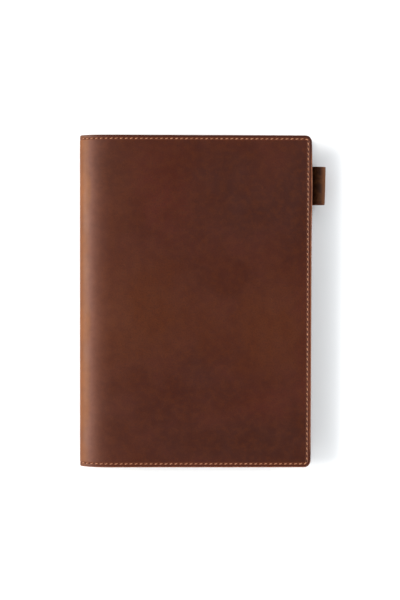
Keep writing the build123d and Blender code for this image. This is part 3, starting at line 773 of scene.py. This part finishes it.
def pocket(name, section, back):
    upper = section.upper
    n_st, pitch = seam_count(section)
    rows = [0.0, 0.05, 0.15, 0.32, 0.7, 1.2, 1.6, 1.9, 2.15, 2.35, 2.55, 2.8, 3.1, 3.5, 3.8, 4.1, 4.4, 4.7, 5.0, 5.3, 5.7, 6.4, 7.6]
    a_end = W - MOUTH
    inner_a = list(np.linspace(9.2, a_end - 7.0, 40))
    tail = [a_end - q for q in (6.0, 4.2, 3.4, 2.9, 2.6, 2.3, 2.0, 1.4, 0.7, 0.3, 0.12, 0.04, 0.0)]
    A = np.array(rows + inner_a + tail)
    mid = list(np.arange(0, HALF - 8.4, 1.7))
    pos = mid + [HALF - r for r in rows[::-1]]
    Y = np.array([-y for y in pos[:0:-1]] + pos)
    gx, gy = np.meshgrid(A, Y, indexing="ij")
    side = np.where(gy >= 0, 1.0, -1.0)
    dx, dy, d, s = turn_corner(gx, HALF - np.abs(gy), CORNER)
    y = side * (HALF - dy)
    if back:
        # the edge draws back where the pen loop comes out
        dx = dx + 1.4 * loop_bump(y) * smooth(dx, 9.0, 0.0)
    h = pocket_height(dx, dy, y, back)
    h_under = h - POCKET_T
    h = h - np.interp(d, [0, 0.05, 0.15, 0.32, 0.6], [0.36, 0.22, 0.10, 0.03, 0.0])
    from_mouth = a_end - gx
    h = h - np.interp(from_mouth, [0, 0.04, 0.12, 0.3, 0.7], [0.34, 0.20, 0.10, 0.02, 0.0])
    h = h - 0.16 * np.exp(-(((from_mouth - 2.6) / 0.28) ** 2))
    hole = (0.5 + 0.5 * np.cos(2 * math.pi * s / pitch)) ** 2
    h = h - np.exp(-(((d - INSET) / 0.42) ** 2)) * 0.22
    h = h + 0.10 * waves(W - dx, y, 31 if back else 32, 38) * smooth(d, 5, 14)
    h_under = np.maximum(h_under + 0.012, 0.012)
    x = X0 + W - dx
    if upper:
        z_vis, z_hid = TOP - LEATHER - h, TOP - LEATHER - h_under
    else:
        z_vis, z_hid = LEATHER + h, LEATHER + h_under
    vis = np.stack([x, y, z_vis], -1)
    hid = np.stack([x, y, z_hid], -1)
    nu, nv = vis.shape[:2]
    faces, n_out, n_in = closed_sheet(vis, hid, list(range(nu)), list(range(nv)))
    verts = np.vstack([vis.reshape(-1, 3), hid.reshape(-1, 3)])
    seam_d = np.minimum(d, np.where(from_mouth < 0.5, from_mouth, 99.0))
    seam_v = np.stack([seam_d, s * PITCH / pitch, 0.25 * np.exp(-((from_mouth / 5.0) ** 2))], -1).reshape(-1, 3)
    seam_h = np.stack([np.where(seam_d < 0.4, seam_d, 50.0), s, 0 * s], -1).reshape(-1, 3)
    off = 400.0 if back else 700.0
    fl = np.stack([x + off, y, 0 * x], -1).reshape(-1, 3)
    index = [0] * n_out + [1] * n_in + [0] * (len(faces) - n_out - n_in)
    ob = make_object(name, verts, faces, [M_POCKET, M_FLESH], np.vstack([fl, fl + [0, 0, 5]]), np.vstack([seam_v, seam_h]), index, sharp=0)
    recalc(ob)
    ob.data.set_sharp_from_angle(angle=math.radians(55))
    return ob


front_pocket = pocket("front_pocket", UP, False)
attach(front_pocket, "front")
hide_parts("front_sleeve")
back_pocket = pocket("back_pocket", LOW, True)
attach(back_pocket, "back")
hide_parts("back_sleeve")


def inner_height(back):
    def height(dx, dy, sgn):
        y = sgn * (HALF - dy)
        if dx > W - MOUTH - 1.0:
            return LEATHER + 0.0
        return LEATHER + float(pocket_height(dx, dy, np.array(y), back)) - 0.12
    return height


for tag, sec, back in (("front", UP, False), ("back", LOW, True)):
    slant = -17.0 if sec.upper else 17.0
    paths = seam_stitches(sec, slant) + seam_stitches(sec, -slant, False, inner_height(back))
    thread = thread_object(tag + "_seam_thread", paths)
    if sec.upper:
        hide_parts("front_stitching", "upper_hinge_stitching")
        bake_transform(thread)
    else:
        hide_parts("back_stitching", "lower_hinge_stitching", "spine_stitching")
        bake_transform(thread)

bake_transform(front_leather)
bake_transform(back_leather)


# ---- swept strips: loop, card slots, cloth ---------------------------------
def strip_mesh(path, thick, y_lines, edge=0.30, side=1.0):
    """A strip of leather: path of (x, z) centres, its thickness along it, swept over the lines in y with rounded long edges."""
    path = np.asarray(path, float)
    thick = np.broadcast_to(np.asarray(thick, float), (len(path),))
    tan = np.gradient(path, axis=0)
    tan /= np.linalg.norm(tan, axis=1)[:, None]
    nrm = np.stack([-tan[:, 1], tan[:, 0]], 1) * side
    y_lines = np.asarray(y_lines, float)
    y0, y1 = y_lines[0], y_lines[-1]
    verts, run = [], np.r_[0, np.cumsum(np.linalg.norm(np.diff(path, axis=0), axis=1))]
    flat, dist = [], []
    for face in (1.0, -1.0):
        for i in range(len(path)):
            for y in y_lines:
                e = min(y - y0, y1 - y)
                k = 1.0 - 0.55 * (1 - min(e / edge, 1.0)) ** 2
                p = path[i] + nrm[i] * face * thick[i] / 2 * k
                verts.append((p[0], y, p[1]))
                flat.append((run[i] + 950.0, y, 0.0 if face > 0 else 4.0))
                dist.append(e if e < 0.5 else 50.0)
    n, m = len(path), len(y_lines)
    top = np.arange(n * m).reshape(n, m)
    faces, _, _ = closed_sheet(top, top, list(range(n)), list(range(m)))
    return np.array(verts), faces, np.array(flat), np.array(dist)


def closed_sheet_indices(n, m):
    grid = np.zeros((n, m, 3))
    return closed_sheet(grid, grid, list(range(n)), list(range(m)))[0]


def bezier(points, n):
    """Smooth curve through points (Catmull-Rom), n samples."""
    pts = [np.array(p, float) for p in points]
    pts = [2 * pts[0] - pts[1]] + pts + [2 * pts[-1] - pts[-2]]
    out = []
    spans = len(pts) - 3
    for k in range(spans):
        p0, p1, p2, p3 = pts[k : k + 4]
        for f in np.linspace(0, 1, max(int(n / spans), 3), endpoint=False):
            out.append(0.5 * (2 * p1 + (p2 - p0) * f + (2 * p0 - 5 * p1 + 4 * p2 - p3) * f * f + (3 * p1 - p0 - 3 * p2 + p3) * f**3))
    out.append(pts[-2])
    out = np.array(out)
    seg = np.r_[0, np.cumsum(np.linalg.norm(np.diff(out, axis=0), axis=1))]
    t = np.linspace(0, seg[-1], n)
    return np.stack([np.interp(t, seg, out[:, k]) for k in range(out.shape[1])], 1)


def pen_loop():
    """The strip leaves the seam, goes once round and comes back into the seam on top of itself."""
    cx, cz, r = 160.0, 7.0, 4.8
    ring = [(cx + r * math.cos(math.radians(a)), cz + r * math.sin(math.radians(a))) for a in range(-90, 206, 8)]
    lower = [(150.9, 2.15), (152.4, 2.15), (154.4, 2.15), (156.6, 2.13), (158.4, 2.14)]
    upper = [(156.15, 4.10), (156.6, 3.35), (156.3, 2.90), (155.4, 2.82), (153.2, 2.84), (150.9, 2.84)]
    path = np.array(lower + ring + upper)
    path[:, 0] += X0
    path = bezier(path, 120)
    seg = np.r_[0, np.cumsum(np.linalg.norm(np.diff(path, axis=0), axis=1))]
    thick = np.interp(seg, [0, 5.6, 8.4, seg[-1] - 8.4, seg[-1] - 5.6, seg[-1]], [0.66, 0.66, 1.15, 1.15, 0.66, 0.66])
    ys = [LOOP_Y0 + q for q in (0, 0.03, 0.09, 0.18, 0.32, 0.6, 1.2)] + list(np.linspace(LOOP_Y0 + 2.2, LOOP_Y1 - 2.2, 16)) + [LOOP_Y1 - q for q in (1.2, 0.6, 0.32, 0.18, 0.09, 0.03, 0)]
    verts, faces, flat, dist = strip_mesh(path, thick, ys, 0.32)
    # the hide bows a little between its edges
    mid = (LOOP_Y0 + LOOP_Y1) / 2
    bow = 1 - ((verts[:, 1] - mid) / 12.7) ** 2
    out = smooth(verts[:, 0], X0 + 157.0, X0 + 162.6)
    verts[:, 0] += 0.14 * bow * out - 0.62 * out * (LOOP_Y1 - verts[:, 1]) / (LOOP_Y1 - LOOP_Y0)
    # painted light: the loop's outer side, out of the cover's shadow, is painted paler
    wear_and_light = smooth(verts[:, 0], X0 + 160.6, X0 + 164.6) * 0.8
    seam = np.stack([dist, 0 * dist, wear_and_light], 1)
    ob = make_object("pen_loop_strip", verts, faces, [M_LOOP], flat, seam, None, sharp=0)
    recalc(ob)
    ob.data.set_sharp_from_angle(angle=math.radians(50))
    return ob


loop = pen_loop()
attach(loop, "back")
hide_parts("pen_loop")


# ---- card slots ------------------------------------------------------------
SLOT_FACE = TOP - LEATHER - POCKET_T - STEP      # the pocket's visible face
SLOT_X0, SLOT_X1 = 43.0, 143.0


def card_slot(name, node, y_top, points, seed):
    """Shingled strip: points are (y, z of the lower face, thickness), from the mouth down."""
    ys, zs, ts = (np.array(q, float) for q in zip(*points))
    xs = [SLOT_X0 + q for q in (0, 0.04, 0.12, 0.3, 0.7, 1.4)] + list(np.linspace(SLOT_X0 + 2.6, SLOT_X1 - 2.6, 36)) + [SLOT_X1 - q for q in (1.4, 0.7, 0.3, 0.12, 0.04, 0)]
    near = np.array([0, 0.04, 0.12, 0.3, 0.7, 1.4, 2.0])
    long_ = ys[0] - ys[-1]
    dist = np.concatenate([near, np.linspace(3.0, long_ - 2.0, 18), long_ - near[:6][::-1]])
    yy = ys[0] - dist
    z_low = np.interp(-yy, -ys, zs)
    t = np.interp(-yy, -ys, ts)
    X, Yg = np.meshgrid(xs, yy, indexing="ij")
    Zl = np.broadcast_to(z_low, X.shape).copy()
    T = np.broadcast_to(t, X.shape).copy()
    e_mouth = ys[0] - Yg
    e_side = np.minimum(X - SLOT_X0, SLOT_X1 - X)
    e_foot = Yg - ys[-1]
    d = np.minimum(np.minimum(e_mouth, e_side), e_foot)
    rnd = np.interp(d, [0, 0.04, 0.12, 0.3, 0.6], [0.22, 0.13, 0.06, 0.015, 0])
    # the mouth's middle eases down slightly, and a pressed line runs under it
    ease = 0.10 * np.sin(np.pi * (X - SLOT_X0) / (SLOT_X1 - SLOT_X0)) * smooth(e_mouth, 8, 0)
    crease = 0.08 * np.exp(-(((e_mouth - 2.0) / 0.3) ** 2))
    low = Zl + rnd + crease + ease
    high = np.minimum(Zl + T, SLOT_FACE - 0.02)
    vis = np.stack([X0 + X, Yg, low], -1)
    hid = np.stack([X0 + X, Yg, np.maximum(high, low + 0.2)], -1)
    faces = closed_sheet_indices(*X.shape)
    verts = np.vstack([vis.reshape(-1, 3), hid.reshape(-1, 3)])
    sv = np.stack([np.where(d < 0.5, d, 50.0), 0 * d, 0.3 * np.exp(-((e_mouth / 2.5) ** 2))], -1).reshape(-1, 3)
    fl = np.stack([X + 1200 + seed * 160, Yg, 0 * X], -1).reshape(-1, 3)
    ob = make_object(name, verts, faces, [M_POCKET], np.vstack([fl, fl + [0, 0, 4]]), np.vstack([sv, sv]), None, sharp=0)
    recalc(ob)
    ob.data.set_sharp_from_angle(angle=math.radians(50))
    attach(ob, "front")
    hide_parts(node)
    return ob


MOUTH_Z = SLOT_FACE - 1.40
FOOT_Z = SLOT_FACE - 0.62
slot_tops = (8.0, -8.0, -24.0)
card_slot("card_slot_strip_upper", "card_slot_upper", 8.0, [(8.0, MOUTH_Z, 0.6), (-10.0, FOOT_Z - 0.04, 0.55)], 0)
card_slot("card_slot_strip_middle", "card_slot_middle", -8.0, [(-8.0, MOUTH_Z, 0.6), (-26.0, FOOT_Z - 0.04, 0.55)], 1)
card_slot("card_slot_panel", "card_slot_lower", -24.0, [(-24.0, MOUTH_Z, 0.6), (-42.0, FOOT_Z, 0.6), (-82.0, FOOT_Z, 0.6)], 2)


def slot_low(y):
    """Lower face of the outermost slot strip at y."""
    if y > -8:
        return float(np.interp(-y, [-8, 10], [MOUTH_Z, FOOT_Z - 0.04]))
    if y > -24:
        return float(np.interp(-y, [8, 26], [MOUTH_Z, FOOT_Z - 0.04]))
    return float(np.interp(-y, [24, 42, 82], [MOUTH_Z, FOOT_Z, FOOT_Z]))


def slot_seam():
    corners = [(SLOT_X0 + 2.0, 6.0), (SLOT_X0 + 2.0, -80.0), (SLOT_X1 - 2.0, -80.0), (SLOT_X1 - 2.0, 6.0)]
    paths = []
    for (ax, ay), (bx, by) in zip(corners, corners[1:]):
        n = round(math.hypot(bx - ax, by - ay) / 3.3)
        ux, uy = (bx - ax) / (n * 1.0), (by - ay) / (n * 1.0)
        for k in range(n):
            pts, rights, ups = [], [], []
            direction = np.array([ux, uy, 0.0])
            direction /= np.linalg.norm(direction)
            right = np.cross(direction, (0, 0, -1.0))
            for f in np.linspace(0.05, 0.95, 7):
                x, y = ax + ux * (k + f), ay + uy * (k + f)
                arch = math.sin(math.pi * f) ** 0.6
                z = slot_low(y) + 0.25 - 0.30 * arch
                pts.append(np.array([X0 + x, y, z]) + right * (f - 0.5) * 0.5)
                rights.append(right)
                ups.append(np.array([0, 0, -1.0]))
            paths.append((pts, rights, ups))
    return paths


slot_thread = thread_object("card_slot_thread", slot_seam(), 0.26)
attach(slot_thread, "front")
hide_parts("card_slot_stitching")


# ---- notebook --------------------------------------------------------------
def plate(name, x0, x1, y0, y1, z0, z1, r_plan, r_edge, mat, body, node, squared_left=True, wobble=0.0, seed=0):
    """A board or sheet: rounded outer corners in plan and soft edges all round."""
    def outline(inset):
        r = max(r_plan - inset, 0.05)
        pts = []
        xa, xb, ya, yb = x0 + inset, x1 - inset, y0 + inset, y1 - inset
        rl = r if not squared_left else 0.05
        for cx, cy, rr, a0 in ((xb - r, yb - r, r, 0), (xa + rl, yb - rl, rl, 90), (xa + rl, ya + rl, rl, 180), (xb - r, ya + r, r, 270)):
            for k in range(7):
                a = math.radians(a0 + 90 * k / 6)
                pts.append((cx + rr * math.cos(a), cy + rr * math.sin(a)))
        return np.array(pts)

    layers = []
    for f in (0, 30, 60, 90):
        a = math.radians(f)
        layers.append((r_edge * (1 - math.sin(a)), z0 + r_edge * (1 - math.cos(a))))
    for f in (90, 60, 30, 0):
        a = math.radians(f)
        layers.append((r_edge * (1 - math.sin(a)), z1 - r_edge * (1 - math.cos(a))))
    verts, faces = [], []
    m = None
    for inset, z in layers:
        o = outline(inset)
        m = len(o)
        verts += [(p[0], p[1], z) for p in o]
    for k in range(len(layers) - 1):
        for i in range(m):
            j = (i + 1) % m
            faces.append([k * m + i, k * m + j, (k + 1) * m + j, (k + 1) * m + i])
    faces.append(list(range(m))[::-1])
    faces.append([(len(layers) - 1) * m + i for i in range(m)])
    verts = np.array(verts)
    verts[:, 0] += X0
    if wobble:
        verts[:, 2] += wobble * waves(verts[:, 0], verts[:, 1], seed, 60)
    ob = make_object(name, verts, faces, [mat], None, None, None, sharp=0)
    recalc(ob)
    ob.data.set_sharp_from_angle(angle=math.radians(50))
    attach(ob, body)
    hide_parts(node)
    return ob


plate("back_board_covered", 10.5, 150.0, -105, 105, 1.82, 3.0, 3.0, 0.35, M_BOARD, "back", "notebook_back_board")
plate("front_board_covered", 13.0, 150.0, -105, 105, 15.0, 16.18, 3.0, 0.35, M_BOARD, "front", "notebook_front_board")
plate("front_pastedown_sheet", 13.4, 148.4, -102, 102, 14.86, 15.0, 1.0, 0.04, M_ENDPAPER, "front", "front_pastedown")
plate("front_flyleaf_sheet", 4.3, 146.5, -102, 102, 11.50, 11.66, 0.6, 0.05, M_ENDPAPER, "back", "front_flyleaf")


def text_block():
    """Eight folded sections, each a few bundles of leaves whose cut edges don't quite line up."""
    rng = np.random.RandomState(77)
    verts, faces = [], []
    z = 4.45
    n_y = 25
    for sec in range(8):
        bundles = 5
        h = 0.86 / bundles
        for b in range(bundles):
            z0, z1 = z + b * h + 0.006, z + (b + 1) * h - 0.006
            fx = 146.5 + rng.uniform(-0.16, 0.05)
            hy = 102.0 + rng.uniform(-0.14, 0.02)
            ty = 102.0 + rng.uniform(-0.14, 0.02)
            mid = (b - 2) / 2.0
            sx = 3.95 + 0.26 * mid * mid
            sx0 = 3.95 + 0.26 * ((b - 2.5) / 2.5) ** 2
            sx1 = 3.95 + 0.26 * ((b - 1.5) / 2.5) ** 2
            phase = rng.uniform(0, 6.28)
            ring = []
            ys = np.linspace(-ty, hy, n_y)
            for y in ys:
                ring.append((fx + 0.03 * math.sin(y / 17.0 + phase), y))
            ring.append((75.0, hy))
            ring.append((sx, hy))
            ring.append((sx, -ty))
            ring.append((75.0, -ty))
            m = len(ring)
            base = len(verts)
            c = 0.02
            for zz, inset in ((z0, c), (z0 + c, 0.0), (z1 - c, 0.0), (z1, c)):
                for k, (x, y) in enumerate(ring):
                    xx, yy = x, y
                    if k < n_y:
                        xx -= inset
                    if k in (0, m - 1, m - 2):
                        yy += inset
                    if k in (n_y - 1, n_y, n_y + 1):
                        yy -= inset
                    if k in (n_y + 1, n_y + 2):
                        xx = (sx0 if zz < (z0 + z1) / 2 else sx1) + inset
                    verts.append((X0 + xx, yy, zz))
            for q in range(3):
                for i in range(m):
                    j = (i + 1) % m
                    faces.append([base + q * m + i, base + q * m + j, base + (q + 1) * m + j, base + (q + 1) * m + i])
            faces.append([base + i for i in range(m)][::-1])
            faces.append([base + 3 * m + i for i in range(m)])
        z += 0.88
    ob = make_object("text_block", verts, faces, [M_PAGES], None, None, None, sharp=0)
    recalc(ob)
    ob.data.set_sharp_from_angle(angle=math.radians(40))
    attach(ob, "back")
    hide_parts("signatures")
    return ob


text_block()


def ribbon(name, path, thick, y0, y1, mat, n_y=40, flat_off=0.0, sharp=50):
    """A thin sheet following path (x, z), from y0 to y1."""
    ys = [y0 + q for q in (0, 0.05, 0.2)] + list(np.linspace(y0 + 1.0, y1 - 1.0, n_y)) + [y1 - q for q in (0.2, 0.05, 0)]
    verts, faces, flat, dist = strip_mesh(path, thick, ys, 0.12)
    flat[:, 0] += flat_off
    ob = make_object(name, verts, faces, [mat], flat, None, None, sharp=0)
    recalc(ob)
    ob.data.set_sharp_from_angle(angle=math.radians(sharp))
    return ob


# back endpaper: pastedown on the board, folded at the spine side and up under the block
fold = [(148.4, 3.1), (100.0, 3.1), (40.0, 3.1), (9.0, 3.1), (6.2, 3.12), (5.1, 3.3), (4.75, 3.72), (5.1, 4.14), (6.2, 4.32), (9.0, 4.35), (40.0, 4.35), (100.0, 4.35), (146.4, 4.35)]
back_end = ribbon("back_endpaper_sheet", bezier([(X0 + a, b) for a, b in fold], 150), 0.15, -102, 102, M_ENDPAPER)
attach(back_end, "back")
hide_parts("back_endpaper")


def joint_cloth(name, section, x_end, depth, extra_z):
    """Cloth of the notebook's case, from the middle of the spine round to the board's edge."""
    a0 = float(np.interp(-x_end, -section.x, section.a))
    a = np.linspace(section.length, a0, 60)
    x, z = section.at(a, depth)
    x, z = np.array(x), np.array(z)
    pts = np.stack([X0 + x, z], 1)
    return pts


# upper joint: follows inside the hide, then slips under the board's edge
up_pts = joint_cloth("upper", UP, 11.5, 2.08, 0)
up_path = bezier(list(up_pts[::6]) + [(X0 + 12.2, 15.52), (X0 + 13.2, 15.5)], 70)
upper_cloth = ribbon("upper_case_cloth", up_path, 0.28, -105, 105, M_CLOTH, flat_off=40)
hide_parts("upper_case_joint")
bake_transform(upper_cloth)

low_pts = joint_cloth("lower", LOW, 9.0, 2.0, 0)
low_path = bezier(list(low_pts[::6]) + [(X0 + 9.9, 2.2), (X0 + 10.8, 2.35)], 70)
lower_cloth = ribbon("lower_case_cloth", low_path, 0.28, -105, 105, M_CLOTH, flat_off=80)
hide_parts("lower_case_joint")
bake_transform(lower_cloth)

strip_path = bezier([(X0 + 2.72, z) for z in (6.8, 7.7, 8.8, 9.9, 10.8)], 20)
stiffener = ribbon("case_spine_stiffener", strip_path, 0.8, -104.6, 104.6, M_BOARD, flat_off=120)
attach(stiffener, "spine")
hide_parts("notebook_spine_strip")

# lining glued over the backs of the sections
lining_path = [(X0 + 3.62 + 0.05 * math.cos(2 * math.pi * (z - 4.6) / 0.88), z) for z in np.linspace(4.6, 11.35, 60)]
lining = ribbon("block_spine_lining", lining_path, 0.22, -99, 99, M_LINING, flat_off=160)
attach(lining, "back")
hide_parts("spine_lining")


def band(name, node, y_from, y_to):
    """Headband: a corded bead across the end of the block's spine."""
    verts, faces = [], []
    n, m = 45, 10
    for i in range(n):
        z = 4.75 + (11.15 - 4.75) * i / (n - 1)
        r = 0.50 + 0.07 * math.sin(2 * math.pi * i / 3.0)
        if i in (0, n - 1):
            r *= 0.6
        for k in range(m):
            a = 2 * math.pi * k / m
            verts.append((X0 + 4.62 + r * math.cos(a), (y_from + y_to) / 2 + 1.0 * r * math.sin(a), z))
    for i in range(n - 1):
        for k in range(m):
            k2 = (k + 1) % m
            faces.append([i * m + k, i * m + k2, (i + 1) * m + k2, (i + 1) * m + k])
    faces.append(list(range(m))[::-1])
    faces.append([(n - 1) * m + k for k in range(m)])
    ob = make_object(name, verts, faces, [M_BAND], None, None, None, sharp=0)
    recalc(ob)
    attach(ob, "back")
    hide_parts(node)
    return ob


band("head_band_cord", "head_band", 102.02, 103.2)
band("tail_band_cord", "tail_band", -103.2, -102.02)


# ---- floor and light -------------------------------------------------------
floor_mesh = bpy.data.meshes.new("floor")
floor_mesh.from_pydata([(-8, -8, -0.00005), (8, -8, -0.00005), (8, 8, -0.00005), (-8, 8, -0.00005)], [], [[0, 1, 2, 3]])
floor = bpy.data.objects.new("floor", floor_mesh)
bpy.context.scene.collection.objects.link(floor)
ft = Tree("floor_white")
fp = ft.noise(ft.t.nodes.new("ShaderNodeTexCoord").outputs["Object"], 3, 2.0, 0.5)
floor_mesh.materials.append(ft.finish(ft.mix(fp, (0.90, 0.90, 0.90), (0.915, 0.915, 0.915)), 0.85, None, specular=0.1))

# a broad soft window to the left, and white surroundings that are dim overhead
KEY_UP, KEY_TURN = math.radians(29.6), math.radians(7.5)
key_data = bpy.data.lights.new("key", "SUN")
key_data.angle = math.radians(30)
key_data.energy = 3.38
key_data.color = (1.0, 0.98, 0.95)
key = bpy.data.objects.new("key", key_data)
bpy.context.scene.collection.objects.link(key)
key.location = (-math.cos(KEY_UP) * math.cos(KEY_TURN), math.cos(KEY_UP) * math.sin(KEY_TURN), math.sin(KEY_UP))
key.rotation_euler = (-Vector(key.location)).to_track_quat("-Z", "Y").to_euler()

world = bpy.data.worlds.new("studio")
bpy.context.scene.world = world
world.use_nodes = True
wt = world.node_tree
wt.nodes.clear()
w_out = wt.nodes.new("ShaderNodeOutputWorld")
w_bg = wt.nodes.new("ShaderNodeBackground")
w_co = wt.nodes.new("ShaderNodeTexCoord")
w_sep = wt.nodes.new("ShaderNodeSeparateXYZ")
wt.links.new(w_co.outputs["Generated"], w_sep.inputs[0])
ramp = wt.nodes.new("ShaderNodeValToRGB")
ramp.color_ramp.interpolation = "EASE"
stops = ((0.0, 1.08), (0.36, 1.08), (0.53, 2.2), (0.66, 2.2), (0.88, 0.14), (1.0, 0.10))
for k, (pos, v) in enumerate(stops):
    e = ramp.color_ramp.elements[k] if k < 2 else ramp.color_ramp.elements.new(pos)
    e.position = pos
    e.color = (v / 3 * 0.975, v / 3, v / 3 * 1.022, 1)
wt.links.new(w_sep.outputs[2], ramp.inputs[0])
wt.links.new(ramp.outputs[0], w_bg.inputs["Color"])
# the walls in front of and behind the object are further away, so they give less
def world_math(op, a, b):
    n = wt.nodes.new("ShaderNodeMath")
    n.operation = op
    for k, v in enumerate((a, b)):
        if isinstance(v, bpy.types.NodeSocket):
            wt.links.new(v, n.inputs[k])
        else:
            n.inputs[k].default_value = v
    return n.outputs[0]


across = world_math("SUBTRACT", world_math("MULTIPLY", w_sep.outputs[0], w_sep.outputs[0]), world_math("MULTIPLY", w_sep.outputs[1], w_sep.outputs[1]))
# near the horizon all sides are the same white
raised = wt.nodes.new("ShaderNodeMapRange")
raised.interpolation_type = "SMOOTHSTEP"
wt.links.new(w_sep.outputs[2], raised.inputs[0])
for k, v in enumerate((0.20, 0.38, 0.0, 0.80)):
    raised.inputs[k + 1].default_value = v
wt.links.new(world_math("MULTIPLY", world_math("ADD", world_math("MULTIPLY", across, raised.outputs[0]), 1.0), 3.16), w_bg.inputs["Strength"])
wt.links.new(w_bg.outputs[0], w_out.inputs[0])

bpy.context.scene.view_settings.view_transform = "Standard"
bpy.context.scene.view_settings.look = "None"
bpy.context.scene.view_settings.exposure = 0.0
bpy.context.scene.view_settings.gamma = 1.0
